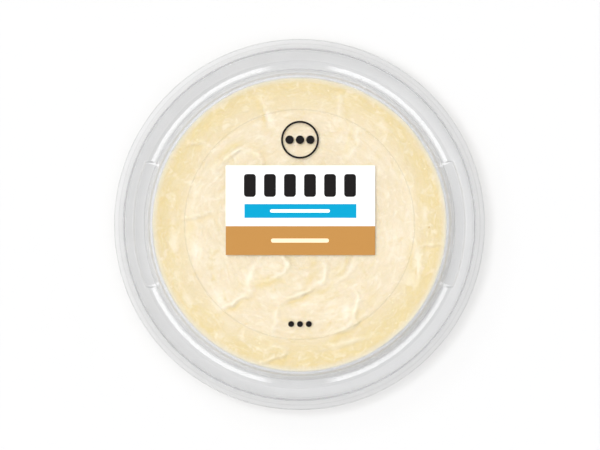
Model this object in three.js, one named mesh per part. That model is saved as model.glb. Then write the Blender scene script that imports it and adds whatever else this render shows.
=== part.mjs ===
// A shut 200 g tub of hummus: the dip in a clear round tub, under a clear press-fit lid with a printed card on it.
// Millimetres, +Z up, origin at the centre of the foot. Seen from above with +Y up, the print is upright.
import * as THREE from "three";

// Driving dimensions
const overallDiameter = 118; // across the lid's foot flange
const overallHeight = 38; // from the foot to the top of the lid's ring
const tubWall = 0.7;
const lidWall = 0.6;
const fitGap = 0.3; // left between the dip and the tub, and between the lid and the tub's flange
const roundSteps = 3; // straight steps in each rounded corner of a section

const tub = {
  footInner: 38, // the flat foot ring that the tub stands on
  footOuter: 41.6,
  pushUp: 1.6, // how far the middle of the base is raised
  heelHeight: 3.2,
  heelRadius: 43.2, // inside the wall, at the top of the heel
  stepRadius: 46.5, // inside the wall, just under the step
  stepHeight: 31.2,
  stepRise: 0.8,
  mouthRadius: 48.7, // inside the wall, above the step
  flangeTop: 35.6,
  curlRadius: 55.5, // outer edge of the flange, which turns down
  curlDepth: 2.4,
};

const lid = {
  discRadius: 36.5, // the middle of the panel is raised a little
  discRise: 0.2,
  panelTop: 33.8,
  panelRadius: 46.7,
  plugRadius: 47.75, // the wall that plugs the tub's mouth
  plugCorner: 0.4,
  ringOuter: 55.9,
  skirtRadius: 56.7,
  snapRadius: 56.4, // the groove that snaps under the tub's curl
  snapHeight: 32.9,
  flangeTop: 32.1,
  flangeInner: 57.4,
};

// The lid's rim has two sections: a shoulder round the front and back, and a flat shelf at each side.
const shoulderRim = { ledge: 36.9, ledgeEnd: 49.7, cornerX: 50.8, cornerEnd: 52.2 };
const shelfRim = { ledge: tub.flangeTop + fitGap + lidWall, ledgeEnd: 52, cornerX: 52.3, cornerEnd: 53.1 };
const shelfHalfAngle = 22.7; // degrees each side of the X axis
const shelfEndAngle = 0.9; // degrees that the wall at a shelf's end takes up
const shelfSteps = 6;
const shoulderSteps = 20;

const dip = {
  level: 30.3, // mean height of the top
  topRings: 27,
  sidePoints: 81,
  flatGap: 0.1, // more than the flats of the tub's wall come inwards
  swell: 0.3, // slow rise and fall of the top
  wallSmear: 0.5, // how far the dip is drawn up against the wall
  smearWidth: 3,
  creaseShare: 0.5, // depth of a fold's crease beside its ridge
  creaseOffset: 1.4, // from the ridge, in ridge widths
  sampleStep: 0.6,
};

// The spoon's strokes on the dip: where each ridge starts, its heading in degrees and its length, how far it turns
// in its first and second half, its height and half width, and the side its crease is on (1 left, -1 right, 0 none).
const strokes = [
  { x: -7.3, y: -9.4, heading: 5, length: 18, turn: [-150, -35], height: 1.2, width: 1.2, crease: 1 },
  { x: -13.4, y: -11.4, heading: -117, length: 9.5, turn: [6, 10], height: 0.9, width: 1.6, crease: 0 },
  { x: -15.2, y: -21, heading: -149, length: 13.5, turn: [0, -6], height: 0.9, width: 1.1, crease: 1 },
  { x: 7.4, y: -12.6, heading: -50, length: 9.5, turn: [-70, -38], height: 1.2, width: 1.2, crease: 0 },
  { x: 4.5, y: -20.3, heading: -158, length: 12, turn: [-4, 10], height: 1.1, width: 1.1, crease: 1 },
  { x: -4.4, y: -24.2, heading: -150, length: 12.5, turn: [48, 8], height: 1, width: 1.3, crease: 0 },
  { x: 17.7, y: -10, heading: -96, length: 10.5, turn: [-22, -36], height: 0.8, width: 1.2, crease: -1 },
  { x: 13, y: -20.2, heading: 38, length: 17.6, turn: [-138, -4], height: 1.1, width: 1.2, crease: 1 },
  { x: 21.2, y: -29, heading: -151, length: 12.5, turn: [0, -4], height: 0.9, width: 1.1, crease: 1 },
  { x: 7.5, y: -39.9, heading: 15, length: 20, turn: [4, -18], height: 0.9, width: 1.2, crease: -1 },
  { x: -9.4, y: -38.4, heading: 2, length: 6, turn: [-15, -60], height: 0.8, width: 1.1, crease: 0 },
  { x: -4.2, y: -40.4, heading: -140, length: 8.5, turn: [-20, 0], height: 1, width: 1.1, crease: 1 },
  { x: -13.2, y: 41.5, heading: -55, length: 11, turn: [-10, -20], height: 0.8, width: 1.2, crease: -1 },
  { x: -27.4, y: 17.9, heading: 46, length: 19.5, turn: [-20, -110], height: 0.9, width: 1.3, crease: -1 },
  { x: -36.1, y: 25.7, heading: 16, length: 7, turn: [-14, -14], height: 0.7, width: 1.1, crease: -1 },
  { x: 12.7, y: 41.2, heading: -90, length: 10, turn: [3, 4], height: 0.8, width: 1.3, crease: 1 },
  { x: 18.7, y: 30.2, heading: -96, length: 11, turn: [-8, -66], height: 0.9, width: 1.2, crease: -1 },
  { x: -38.8, y: 2.1, heading: 9, length: 12, turn: [3, -4], height: 0.7, width: 1.1, crease: -1 },
  { x: 37.8, y: -7.6, heading: -92, length: 16.5, turn: [6, -70], height: 0.9, width: 1.3, crease: -1 },
  { x: 38.6, y: -7, heading: 35, length: 6.5, turn: [-35, 0], height: 0.6, width: 1, crease: -1 },
  { x: 31, y: 21, heading: -58, length: 28, turn: [-22, -22], height: 0.4, width: 2.4, crease: 0 },
  { x: -31, y: 16, heading: -116, length: 30, turn: [22, 26], height: 0.4, width: 2.6, crease: 0 },
  { x: -28, y: -28, heading: -40, length: 18, turn: [14, 16], height: 0.4, width: 2.4, crease: 0 },
];

const card = { width: 47.4, depth: 28.4, thickness: 0.15, x: 0.3, y: 4.5 };
const band = { depth: 9.2, thickness: 0.1 };
const bar = { width: 35.6, depth: 4.45, thickness: 0.1, y: 4.3 };
const printGap = 0.05; // under each printed layer

const radians = THREE.MathUtils.degToRad;

// The unit vector to the right of the way from one point to the next, or nothing where they are the same.
function rightOf(from, to) {
  const way = to.clone().sub(from).normalize();
  return new THREE.Vector2(way.y, -way.x);
}

// A line moved sideways, to the right of its own way.
function offsetLine(line, distance) {
  return line.map((point, i) => {
    const before = rightOf(line[i - 1] ?? point, point);
    const after = rightOf(point, line[i + 1] ?? point);
    const mitre = distance / (1 + before.dot(after));
    return point.clone().addScaledVector(before.add(after), mitre);
  });
}

// A section of thin sheet: out along the underside of a line from the axis, and back along the line itself.
function sheetSection(line, wall) {
  return [...offsetLine(line, wall), ...line.toReversed()];
}

// A solid through rings of points, from its bottom centre outwards and up to its top centre.
// Neighbouring rings may have different numbers of points, and a ring of one point is a centre.
function ringSolid(rings) {
  const positions = [];
  const faces = [];
  const starts = rings.map((ring) => {
    const start = positions.length / 3;
    ring.forEach((point) => positions.push(point.x, point.y, point.z));
    return start;
  });
  for (let k = 1; k < rings.length; k++) {
    const lower = (i) => starts[k - 1] + (i % rings[k - 1].length);
    const upper = (j) => starts[k] + (j % rings[k].length);
    const lowerCount = rings[k - 1].length === 1 ? 0 : rings[k - 1].length;
    const upperCount = rings[k].length === 1 ? 0 : rings[k].length;
    let i = 0;
    let j = 0;
    while (i < lowerCount || j < upperCount) {
      const lowerNext = i < lowerCount && (j >= upperCount || (i + 1) * upperCount <= (j + 1) * lowerCount);
      if (lowerNext) {
        faces.push(lower(i), lower(i + 1), upper(j));
        i++;
      } else {
        faces.push(lower(i), upper(j + 1), upper(j));
        j++;
      }
    }
  }
  const geometry = new THREE.BufferGeometry();
  geometry.setAttribute("position", new THREE.Float32BufferAttribute(positions, 3));
  geometry.setIndex(faces);
  geometry.computeVertexNormals();
  return geometry;
}

const polar = (radius, angle, z) => new THREE.Vector3(radius * Math.cos(angle), radius * Math.sin(angle), z);

// Tub: base with a raised middle, rounded heel, tapered wall, a step under the mouth, and a flange that turns down.
function tubLine() {
  const base = tubWall;
  const corner = 0.7;
  const line = new THREE.Path();
  line.moveTo(0, base + tub.pushUp);
  line.lineTo(tub.footInner - 1.4, base + tub.pushUp);
  line.lineTo(tub.footInner, base);
  line.lineTo(tub.footOuter, base);
  line.quadraticCurveTo(tub.heelRadius - 0.4, base, tub.heelRadius, tub.heelHeight);
  line.lineTo(tub.stepRadius, tub.stepHeight);
  line.lineTo(tub.mouthRadius, tub.stepHeight + tub.stepRise);
  line.lineTo(tub.mouthRadius + 0.1, tub.flangeTop - corner);
  line.lineTo(tub.mouthRadius + 0.1 + corner, tub.flangeTop);
  line.lineTo(tub.curlRadius - corner, tub.flangeTop);
  line.lineTo(tub.curlRadius, tub.flangeTop - corner);
  line.lineTo(tub.curlRadius, tub.flangeTop - tub.curlDepth);
  return line.getPoints(roundSteps);
}

function makeTub(segments) {
  return new THREE.LatheGeometry(sheetSection(tubLine(), tubWall), segments).rotateX(Math.PI / 2);
}

// Lid: panel with a raised disc, plug wall, ledge, shoulder or shelf wall, ring, skirt with snap groove, flange.
function lidLine(rim) {
  const line = new THREE.Path();
  line.moveTo(0, lid.panelTop + lid.discRise);
  line.lineTo(lid.discRadius - 0.3, lid.panelTop + lid.discRise);
  line.lineTo(lid.discRadius + 0.3, lid.panelTop);
  line.lineTo(lid.panelRadius, lid.panelTop);
  line.lineTo(lid.plugRadius - 0.4, lid.panelTop + lid.plugCorner);
  line.lineTo(lid.plugRadius, rim.ledge - lid.plugCorner);
  line.lineTo(lid.plugRadius + lid.plugCorner, rim.ledge);
  line.lineTo(rim.ledgeEnd, rim.ledge);
  line.quadraticCurveTo(rim.cornerX, overallHeight, rim.cornerEnd, overallHeight);
  line.lineTo(lid.ringOuter - 1, overallHeight - 0.1);
  line.quadraticCurveTo(lid.ringOuter - 0.1, overallHeight - 0.1, lid.ringOuter, overallHeight - 1.1);
  line.lineTo(lid.skirtRadius, lid.snapHeight + 1.5);
  line.lineTo(lid.snapRadius, lid.snapHeight);
  line.lineTo(lid.flangeInner, lid.flangeTop);
  line.lineTo(overallDiameter / 2, lid.flangeTop);
  return line.getPoints(roundSteps);
}

// The angles of the lid's sections, each with its share of the shelf section: steep only at the shelves' ends.
function lidAngles() {
  const stops = [];
  for (const side of [0, 180]) {
    const shelf = shelfHalfAngle - shelfEndAngle / 2;
    const shoulder = shelfHalfAngle + shelfEndAngle / 2;
    for (let k = 0; k <= shelfSteps; k++) {
      stops.push({ angle: radians(side - shelf + (2 * shelf * k) / shelfSteps), shelf: 1 });
    }
    for (let k = 0; k <= shoulderSteps; k++) {
      stops.push({ angle: radians(side + shoulder + ((180 - 2 * shoulder) * k) / shoulderSteps), shelf: 0 });
    }
  }
  return stops;
}

function makeLid() {
  const shoulder = sheetSection(lidLine(shoulderRim), lidWall);
  const shelf = sheetSection(lidLine(shelfRim), lidWall);
  const stops = lidAngles();
  const rings = shoulder.map((point, i) => {
    if (point.x < 1) return [polar(0, 0, point.y)];
    return stops.map((stop) => {
      const at = point.clone().lerp(shelf[i], stop.shelf);
      return polar(at.x, stop.angle, at.y);
    });
  });
  return ringSolid(rings);
}

// A stroke's ridge and the crease beside it, as points along its way, fading at both ends.
function strokeTrail(stroke) {
  const count = Math.ceil(stroke.length / dip.sampleStep);
  const step = stroke.length / count;
  const trail = [];
  let { x, y } = stroke;
  let heading = radians(stroke.heading);
  for (let k = 0; k <= count; k++) {
    const offset = stroke.crease * dip.creaseOffset * stroke.width;
    trail.push({
      x,
      y,
      creaseX: x - offset * Math.sin(heading),
      creaseY: y + offset * Math.cos(heading),
      fade: Math.sin(Math.PI * Math.min(Math.max(k / count, 0.08), 0.92)) ** 0.6,
    });
    heading += radians(stroke.turn[k < count / 2 ? 0 : 1]) / (count / 2);
    x += step * Math.cos(heading);
    y += step * Math.sin(heading);
  }
  return trail;
}

const trails = strokes.map((stroke) => ({ ...stroke, trail: strokeTrail(stroke) }));
const bell = (distance, width) => Math.exp(-((distance / width) ** 2));

// Height of the dip's top above its mean level.
function dipRelief(x, y) {
  const radius = Math.hypot(x, y);
  const slow = Math.sin(0.13 * x + 0.9) * Math.cos(0.11 * y - 0.4) + 0.6 * Math.sin(0.21 * x - 0.17 * y);
  let height = dip.swell * slow + dip.wallSmear * bell(tub.stepRadius - radius, dip.smearWidth);
  for (const stroke of trails) {
    let ridge = 0;
    let crease = 0;
    for (const at of stroke.trail) {
      ridge = Math.max(ridge, at.fade * bell(Math.hypot(x - at.x, y - at.y), stroke.width));
      crease = Math.max(crease, at.fade * bell(Math.hypot(x - at.creaseX, y - at.creaseY), stroke.width));
    }
    height += stroke.height * (ridge - Math.abs(stroke.crease) * dip.creaseShare * crease);
  }
  return height;
}

// A ring of evenly spaced points, at one height or at the height that a function gives.
function evenRing(radius, count, height) {
  if (radius === 0) return [new THREE.Vector3(0, 0, height(0, 0))];
  return Array.from({ length: count }, (_, k) => {
    const point = polar(radius, (2 * Math.PI * k) / count, 0);
    point.z = height(point.x, point.y);
    return point;
  });
}

// Dip: it fills the tub up to its level, and its top is worked into ridges and folds.
function makeDip() {
  const side = offsetLine(tubLine(), -fitGap).filter((point) => point.y < tub.stepHeight);
  const rings = side.map((point) => evenRing(point.x, dip.sidePoints, () => point.y));
  const topRadius = tub.stepRadius - fitGap - dip.flatGap;
  for (let k = dip.topRings; k >= 0; k--) {
    rings.push(evenRing((topRadius * k) / dip.topRings, 6 * k, (x, y) => dip.level + dipRelief(x, y)));
  }
  return ringSolid(rings);
}

// A flat printed layer, lying on what is under it.
function makeLayer(size, under) {
  const layer = new THREE.BoxGeometry(size.width, size.depth, size.thickness);
  return layer.translate(0, 0, under + printGap + size.thickness / 2);
}

const clearPlastic = { color: 0xeff3f5, roughness: 0.08, metalness: 0, transparent: true, opacity: 0.3 };
const paints = {
  tub: new THREE.MeshStandardMaterial(clearPlastic),
  lid: new THREE.MeshStandardMaterial(clearPlastic),
  hummus: new THREE.MeshStandardMaterial({ color: 0xf7e9c6, roughness: 0.55, metalness: 0 }),
  card: new THREE.MeshStandardMaterial({ color: 0xfdfdfd, roughness: 0.4, metalness: 0 }),
  band: new THREE.MeshStandardMaterial({ color: 0xd09a58, roughness: 0.4, metalness: 0 }),
  bar: new THREE.MeshStandardMaterial({ color: 0x05b0dc, roughness: 0.4, metalness: 0 }),
};

const group = new THREE.Group();

function addPiece(name, geometry, material, x = 0, y = 0) {
  const mesh = new THREE.Mesh(geometry, material);
  mesh.name = name;
  mesh.position.set(x, y, 0);
  group.add(mesh);
}

const cardUnder = lid.panelTop + lid.discRise;
const cardTop = cardUnder + printGap + card.thickness;
const bandSize = { ...band, width: card.width };

addPiece("tub", makeTub(2 * (shelfSteps + shoulderSteps + 2)), paints.tub);
addPiece("hummus", makeDip(), paints.hummus);
addPiece("lid", makeLid(), paints.lid);
addPiece("label", makeLayer(card, cardUnder), paints.card, card.x, card.y);
addPiece("label_band", makeLayer(bandSize, cardTop), paints.band, card.x, card.y - (card.depth - band.depth) / 2);
addPiece("label_bar", makeLayer(bar, cardTop), paints.bar, card.x, bar.y);

export default group;
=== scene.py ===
# Looks for a shut clear tub of hummus: worked dip, clear tub and lid, printed card.
# Lengths are millimetres up to the point where a mesh is made, and mm turns them into metres.
import math

import bpy
import numpy as np
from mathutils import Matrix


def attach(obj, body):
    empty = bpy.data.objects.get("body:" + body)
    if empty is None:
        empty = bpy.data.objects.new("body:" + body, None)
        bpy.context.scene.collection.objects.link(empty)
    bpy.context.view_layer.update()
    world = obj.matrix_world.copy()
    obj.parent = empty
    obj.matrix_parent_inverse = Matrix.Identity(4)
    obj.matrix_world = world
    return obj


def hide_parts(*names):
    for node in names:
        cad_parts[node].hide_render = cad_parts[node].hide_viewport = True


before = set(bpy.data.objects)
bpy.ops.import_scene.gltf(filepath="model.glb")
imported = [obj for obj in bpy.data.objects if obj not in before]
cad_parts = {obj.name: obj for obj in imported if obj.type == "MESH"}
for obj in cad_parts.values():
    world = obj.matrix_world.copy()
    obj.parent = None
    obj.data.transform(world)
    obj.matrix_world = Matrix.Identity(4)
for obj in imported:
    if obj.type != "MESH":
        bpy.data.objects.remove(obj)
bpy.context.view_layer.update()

mm = 0.001
scene = bpy.context.scene


def addMesh(name, points, faces, material, smooth=True):
    mesh = bpy.data.meshes.new(name)
    mesh.from_pydata((np.asarray(points) * mm).tolist(), [], faces)
    mesh.update()
    mesh.materials.append(material)
    if smooth:
        mesh.shade_smooth()
    piece = bpy.data.objects.new(name, mesh)
    scene.collection.objects.link(piece)
    return piece


def settle(piece, node=None):
    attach(piece, "root")
    if node:
        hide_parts(node)


def openSocket(sockets, name):
    return next(s for s in sockets if s.name == name and s.enabled)


def findNode(tree, kind):
    return next(n for n in tree.nodes if n.type == kind)


def setInputs(tree, node, inputs):
    # a value that is a socket is linked, any other is typed in
    for key, value in inputs.items():
        socket = node.inputs[key] if isinstance(key, int) else openSocket(node.inputs, key)
        if isinstance(value, bpy.types.NodeSocket):
            tree.links.new(value, socket)
        else:
            socket.default_value = value


def addNode(tree, kind, inputs=None, **settings):
    node = tree.nodes.new(kind)
    for key, value in settings.items():
        setattr(node, key, value)
    setInputs(tree, node, inputs or {})
    return node


def addMath(tree, operation, *values):
    return addNode(tree, "ShaderNodeMath", dict(enumerate(values)), operation=operation).outputs[0]


def addVector(tree, operation, *values):
    return addNode(tree, "ShaderNodeVectorMath", dict(enumerate(values)), operation=operation).outputs[0]


def flatPlace(tree, place):
    # the place without its height, and how far that is from the middle
    flat = addVector(tree, "MULTIPLY", place, (1, 1, 0))
    return flat, addNode(tree, "ShaderNodeVectorMath", {0: flat}, operation="LENGTH").outputs["Value"]


def rescale(tree, value, low, high, toLow, toHigh, kind="LINEAR"):
    inputs = {"Value": value, "From Min": low, "From Max": high, "To Min": toLow, "To Max": toHigh}
    return addNode(tree, "ShaderNodeMapRange", inputs, interpolation_type=kind).outputs[0]


def softStep(tree, value, low, high):
    return rescale(tree, value, low, high, 0, 1, "SMOOTHSTEP")


def radiusStep(tree, radius, span):
    return softStep(tree, radius, span[0] * mm, span[1] * mm)


def grey(level):
    return (level, level, level)


def addRamp(tree, factor, stops, interpolation="LINEAR"):
    node = addNode(tree, "ShaderNodeValToRGB", {"Fac": factor})
    ramp = node.color_ramp
    ramp.interpolation = interpolation
    ramp.elements[0].position, ramp.elements[0].color = stops[0][0], (*stops[0][1], 1)
    ramp.elements[1].position, ramp.elements[1].color = stops[-1][0], (*stops[-1][1], 1)
    for position, colour in stops[1:-1]:
        ramp.elements.new(position).color = (*colour, 1)
    return node.outputs["Color"]


def radiusRamp(tree, radius, levels, reach=60):
    # grey levels at radii, none of them past reach
    share = addMath(tree, "MULTIPLY", radius, 1 / (reach * mm))
    return addRamp(tree, share, [(at / reach, grey(level)) for at, level in levels])


def addMix(tree, factor, first, second, blend="MIX"):
    first, second = ((*side, 1) if isinstance(side, tuple) else side for side in (first, second))
    node = addNode(tree, "ShaderNodeMix", {"Factor": factor, "A": first, "B": second},
                   data_type="RGBA", blend_type=blend)
    return openSocket(node.outputs, "Result")


def mixShaders(tree, share, first, second):
    return addNode(tree, "ShaderNodeMixShader", {0: share, 1: first, 2: second}).outputs[0]


def newMaterial(name):
    material = bpy.data.materials.new(name)
    material.use_nodes = True
    tree = material.node_tree
    place = addNode(tree, "ShaderNodeTexCoord").outputs["Object"]
    return material, tree, findNode(tree, "BSDF_PRINCIPLED"), place


def addNoise(tree, place, size, detail=2.0, roughness=0.5, distortion=0.0):
    inputs = {"Vector": place, "Scale": 1 / (size * mm), "Detail": detail,
              "Roughness": roughness, "Distortion": distortion}
    return addNode(tree, "ShaderNodeTexNoise", inputs).outputs["Fac"]


def addBump(tree, height, depth, strength=1.0, under=None):
    inputs = {"Height": height, "Distance": depth * mm, "Strength": strength}
    if under:
        inputs["Normal"] = under
    return addNode(tree, "ShaderNodeBump", inputs).outputs["Normal"]


# clear plastic: what passes at each slant, what is mirrored, and the shade that it throws
plasticLook = {"faceOn": (0.99, 0.992, 0.995), "sloping": (0.972, 0.975, 0.979),
               "steep": (0.885, 0.888, 0.893), "near": (0.85, 0.855, 0.862), "edgeOn": (0.45, 0.455, 0.465),
               "shade": (0.974, 0.975, 0.977), "shadeSteep": (0.90, 0.903, 0.91),
               "haze": 0.992, "hazeSize": 9, "roughness": (0.02, 0.08), "ior": 1.42, "most": 0.18,
               "rimAt": (56.5, 57.6), "rimShade": 0.25, "shineAt": (47.2, 48.3), "panelShine": 0.35}
tubChanges = {"steep": (0.955, 0.958, 0.962), "near": (0.93, 0.933, 0.938), "edgeOn": (0.87, 0.875, 0.88),
              "panelShine": 1.0}

# rings by radius, and how much light passes there: lowered at the bends and over the shoulder, as painted
# shade for the dark lines and dim bands seen there
lidPaintedRings = [(36.3, 1.0), (36.6, 0.98), (36.85, 1.0), (47.6, 1.0), (47.9, 0.98), (49.1, 0.965), (49.5, 0.965),
            (49.8, 0.962), (51.3, 0.965), (51.75, 0.98), (52.1, 1.0), (53.4, 1.0), (53.8, 1.0), (55.1, 1.0),
            (55.4, 0.99), (56.5, 0.995), (56.8, 1.0), (58.5, 0.995), (58.75, 0.96), (59.0, 0.96)]

# painted films, as radius and cover: dark grey lines painted along the ring bends as the shade their
# refraction gives, and a grey painted on the tub's step
ringShadeLines = {"colour": (0.30, 0.30, 0.31),
             "cover": [(36.42, 0.0), (36.6, 0.05), (36.78, 0.0), (49.0, 0.0), (49.2, 0.22), (49.4, 0.0),
                       (51.6, 0.0), (51.75, 0.05), (51.95, 0.0), (55.46, 0.0), (55.54, 0.6), (55.68, 0.6),
                       (55.75, 0.0), (57.3, 0.0), (57.45, 0.07), (57.6, 0.0), (58.65, 0.0), (58.85, 0.1),
                       (59.0, 0.1)]}
# the grey on the tub's step is painted light: it lifts the shaded gap beside the dip's edge and stands in for
# the grey lines the step's bends show
stepPaintedGrey = {"colour": (0.60, 0.605, 0.62),
             "cover": [(46.4, 0.0), (46.7, 0.24), (47.2, 0.28), (47.7, 0.2), (48.1, 0.06), (49.2, 0.0)]}


def clearPlastic(name, look, paintedFilm, rings=(), shift=0.0):
    # thin formed sheet: each face takes a little of the light, more where it is seen edge on,
    # and mirrors a share
    material, tree, shader, place = newMaterial(name)
    moved = addNode(tree, "ShaderNodeMapping", {"Vector": place, "Location": (shift, 0, 0)}).outputs[0]
    haze = addNoise(tree, moved, look["hazeSize"], 3, 0.6)
    facing = addNode(tree, "ShaderNodeLayerWeight", {"Blend": 0.5}).outputs["Facing"]
    tint = addRamp(tree, facing, [(0.0, look["faceOn"]), (0.3, look["sloping"]), (0.65, look["steep"]),
                                  (0.88, look["near"]), (1.0, look["edgeOn"])])
    veil = addRamp(tree, haze, [(0.3, grey(look["haze"])), (0.75, grey(1.0))], "EASE")
    tint = addMix(tree, 1.0, tint, veil, "MULTIPLY")
    radius = flatPlace(tree, place)[1]
    if rings:
        tint = addMix(tree, 1.0, tint, radiusRamp(tree, radius, rings), "MULTIPLY")
    through = addNode(tree, "ShaderNodeBsdfTransparent", {"Color": tint}).outputs[0]
    setInputs(tree, shader, {"Base Color": (1, 1, 1, 1), "Metallic": 1,
                             "Roughness": rescale(tree, haze, 0.35, 0.75, *look["roughness"])})
    fresnel = addNode(tree, "ShaderNodeFresnel", {"IOR": look["ior"]}).outputs[0]
    mirror = addMath(tree, "MINIMUM", fresnel, look["most"])
    # the slack middle scatters what it mirrors, the stiff rim shines
    stiff = radiusStep(tree, radius, look["shineAt"])
    shine = addMath(tree, "MULTIPLY_ADD", stiff, 1 - look["panelShine"], look["panelShine"])
    sheet = mixShaders(tree, addMath(tree, "MULTIPLY", mirror, shine), through, shader.outputs[0])
    # a dull diffuse film painted on by radius: painted shade lines along the lid's bends, painted light over
    # the tub's step
    cover = radiusRamp(tree, radius, paintedFilm["cover"])
    cover = addMath(tree, "MULTIPLY", cover, softStep(tree, haze, 0.1, 0.45))
    paintedGrey = addNode(tree, "ShaderNodeBsdfDiffuse", {"Color": (*paintedFilm["colour"], 1)}).outputs[0]
    sheet = mixShaders(tree, cover, sheet, paintedGrey)
    # the shadow it throws is a little deeper than its own tint, most of all at the folded rim
    lampRay = addNode(tree, "ShaderNodeLightPath").outputs["Is Shadow Ray"]
    shade = addRamp(tree, facing, [(0.2, look["shade"]), (0.9, look["shadeSteep"])])
    shade = addMix(tree, radiusStep(tree, radius, look["rimAt"]), shade, grey(look["rimShade"]))
    dimmed = addNode(tree, "ShaderNodeBsdfTransparent", {"Color": shade}).outputs[0]
    shown = mixShaders(tree, lampRay, sheet, dimmed)
    tree.links.new(shown, findNode(tree, "OUTPUT_MATERIAL").inputs["Surface"])
    return material


# washes: which noise, where it starts and is full, how much of the colour, and the colour
# the crease colour is painted shade in creases, streak troughs and hollows; the crest colour is a painted
# highlight on the ridges' lips; the edge colour is painted grey where the tub's step blurs the dip's rim
dipLook = {"cream": (0.645, 0.558, 0.412), "butter": (0.622, 0.53, 0.365), "rim": (0.588, 0.478, 0.245),
           "fold": (0.60, 0.485, 0.25), "crestHighlight": (0.79, 0.75, 0.62), "pale": (0.75, 0.692, 0.58),
           "edge": (0.585, 0.555, 0.47), "roughness": (0.38, 0.62),
           "ringAt": (35.2, 37.4), "rimAt": (39.5, 48.8), "edgeAt": (44.6, 47.1),
           "washes": [("streaks", 0.56, 0.42, 0.45, "butter"), ("streaks", 0.53, 0.68, 0.3, "pale"),
                      ("clouds", 0.44, 0.30, 0.35, "rim"), ("clouds", 0.54, 0.72, 0.42, "pale")],
           "patchSize": 11, "patchShift": 8, "streakTurns": (8, 8, 0), "streakRate": 0.85, "streakWave": 7,
           "cloudSize": 3.2, "grainSize": 0.55, "dampSize": 2.2}


def addWash(tree, base, share, most, colour):
    return addMix(tree, addMath(tree, "MULTIPLY", share, most), base, colour)


def hummusSkin():
    look = dipLook
    material, tree, shader, place = newMaterial("hummusSkin")
    flat, radius = flatPlace(tree, place)
    patches = addNoise(tree, place, look["patchSize"], 3, 0.55, 0.4)
    clouds = addNoise(tree, place, look["cloudSize"], 4, 0.6, 0.6)
    # streaks run round the tub: the noise is read by direction from the middle and by distance from it
    around = addVector(tree, "MULTIPLY", addVector(tree, "NORMALIZE", flat), look["streakTurns"])
    rate = addMath(tree, "MULTIPLY", radius, look["streakRate"] / mm)
    wavy = addMath(tree, "MULTIPLY_ADD", patches, look["streakWave"], rate)
    across = addNode(tree, "ShaderNodeCombineXYZ", {"Z": wavy}).outputs[0]
    streaks = addNoise(tree, addVector(tree, "ADD", around, across), 1 / mm, 3, 0.62, 0.35)
    base = addMix(tree, radiusStep(tree, radius, look["ringAt"]), look["cream"], look["butter"])
    rimPlace = addMath(tree, "MULTIPLY_ADD", patches, look["patchShift"] * mm, radius)
    base = addWash(tree, base, radiusStep(tree, rimPlace, look["rimAt"]), 0.9, look["rim"])
    noises = {"streaks": streaks, "clouds": clouds}
    for noise, start, full, most, tone in look["washes"]:
        base = addWash(tree, base, softStep(tree, noises[noise], start, full), most, look[tone])
    # pale places, painted crease shade and painted crest highlights, as the relief marks them on the mesh
    pale, fold, crestHighlight = (addNode(tree, "ShaderNodeAttribute", attribute_name=name).outputs["Fac"]
                         for name in ("pale", "fold", "crestHighlight"))
    # pale where the spoon smoothed the top: partly the dip's own tone, partly painted sheen
    smoothedSheen = addMath(tree, "MULTIPLY", pale, softStep(tree, clouds, 0.30, 0.52))
    # the ridges' lips are painted lighter, a painted highlight
    paintedHighlight = addMath(tree, "MULTIPLY", crestHighlight, softStep(tree, clouds, 0.28, 0.5))
    base = addWash(tree, base, smoothedSheen, 0.75, look["pale"])
    base = addWash(tree, base, fold, 0.88, look["fold"])
    base = addWash(tree, base, paintedHighlight, 0.5, look["crestHighlight"])
    # paler and greyer over the last millimetres to the wall: painted light that stands in for the tub's step
    # refracting and greying the dip's rim
    base = addWash(tree, base, radiusStep(tree, radius, look["edgeAt"]), 0.85, look["edge"])
    grain = addRamp(tree, addNoise(tree, place, look["grainSize"], 3, 0.7),
                    [(0.3, grey(0.70)), (0.7, grey(1.0))], "EASE")
    base = addMix(tree, 0.16, base, grain, "MULTIPLY")
    damp = addNoise(tree, place, look["dampSize"], 3, 0.6)
    drawn = addBump(tree, streaks, 0.32, 0.7)
    coarse = addBump(tree, addNoise(tree, place, 1.3, 4, 0.65, 0.3), 0.25, 0.75, drawn)
    fine = addBump(tree, addNoise(tree, place, 0.4, 2, 0.7), 0.06, 0.7, coarse)
    setInputs(tree, shader, {"Base Color": base, "Normal": fine,
                             "Roughness": rescale(tree, damp, 0.3, 0.7, *look["roughness"]),
                             "Subsurface Weight": 0.25, "Subsurface Radius": (1.0, 0.62, 0.3),
                             "Subsurface Scale": 1.2 * mm, "Specular IOR Level": 0.4})
    return material


def speckSkin(name, colour, second):
    material, tree, shader, place = newMaterial(name)
    setInputs(tree, shader, {"Base Color": addMix(tree, addNoise(tree, place, 0.6, 2, 0.6), colour, second),
                             "Normal": addBump(tree, addNoise(tree, place, 0.25, 2, 0.6), 0.05),
                             "Roughness": 0.5, "Subsurface Weight": 0.2, "Subsurface Scale": 0.8 * mm})
    return material


def printedPaper(name, colour, inkSpread=0.02, rough=0.36, gloss=0.15):
    material, tree, shader, place = newMaterial(name)
    fibre = addNoise(tree, place, 0.35, 4, 0.7)
    darker = tuple(channel * (1 - 2 * inkSpread) for channel in colour)
    sheen = rescale(tree, addNoise(tree, place, 3, 2, 0.5), 0, 1, rough - 0.05, rough + 0.06)
    setInputs(tree, shader, {"Base Color": addMix(tree, fibre, darker, colour), "Roughness": sheen,
                             "Normal": addBump(tree, fibre, 0.01, 0.6), "Coat Weight": gloss,
                             "Coat Roughness": 0.25, "Specular IOR Level": 0.5 if gloss else 0.15})
    return material


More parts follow.
